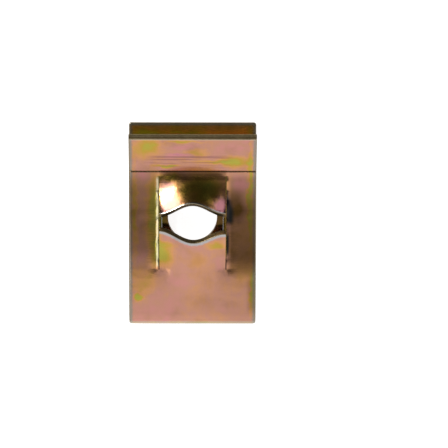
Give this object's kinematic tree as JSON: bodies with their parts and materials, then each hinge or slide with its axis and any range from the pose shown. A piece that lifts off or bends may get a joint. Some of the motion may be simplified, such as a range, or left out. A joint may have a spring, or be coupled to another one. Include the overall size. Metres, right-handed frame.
{
  "type": "u clip speed nut",
  "caption": "U-shaped spring steel speed nut folded from one strip, with raised tongues that grip a screw's thread, a screw hole, a panel catch and a flared lip.",
  "frame": {"origin": "where the screw's axis meets the under face of the back leg", "axes": "+X across the strip; +Y from the fold to the open mouth, the long way; +Z along the screw's axis from the back leg to the tongues, up when the clip lies on its back leg"},
  "size_m": [0.016, 0.0258, 0.0062],
  "materials": {
    "yellow_zinc_steel": "zinc plated with iridescent yellow chromate, satin sheen, bare grey at sheared edges"
  },
  "bodies": {
    "root": {"clip": "yellow_zinc_steel"}
  },
  "joints": []
}
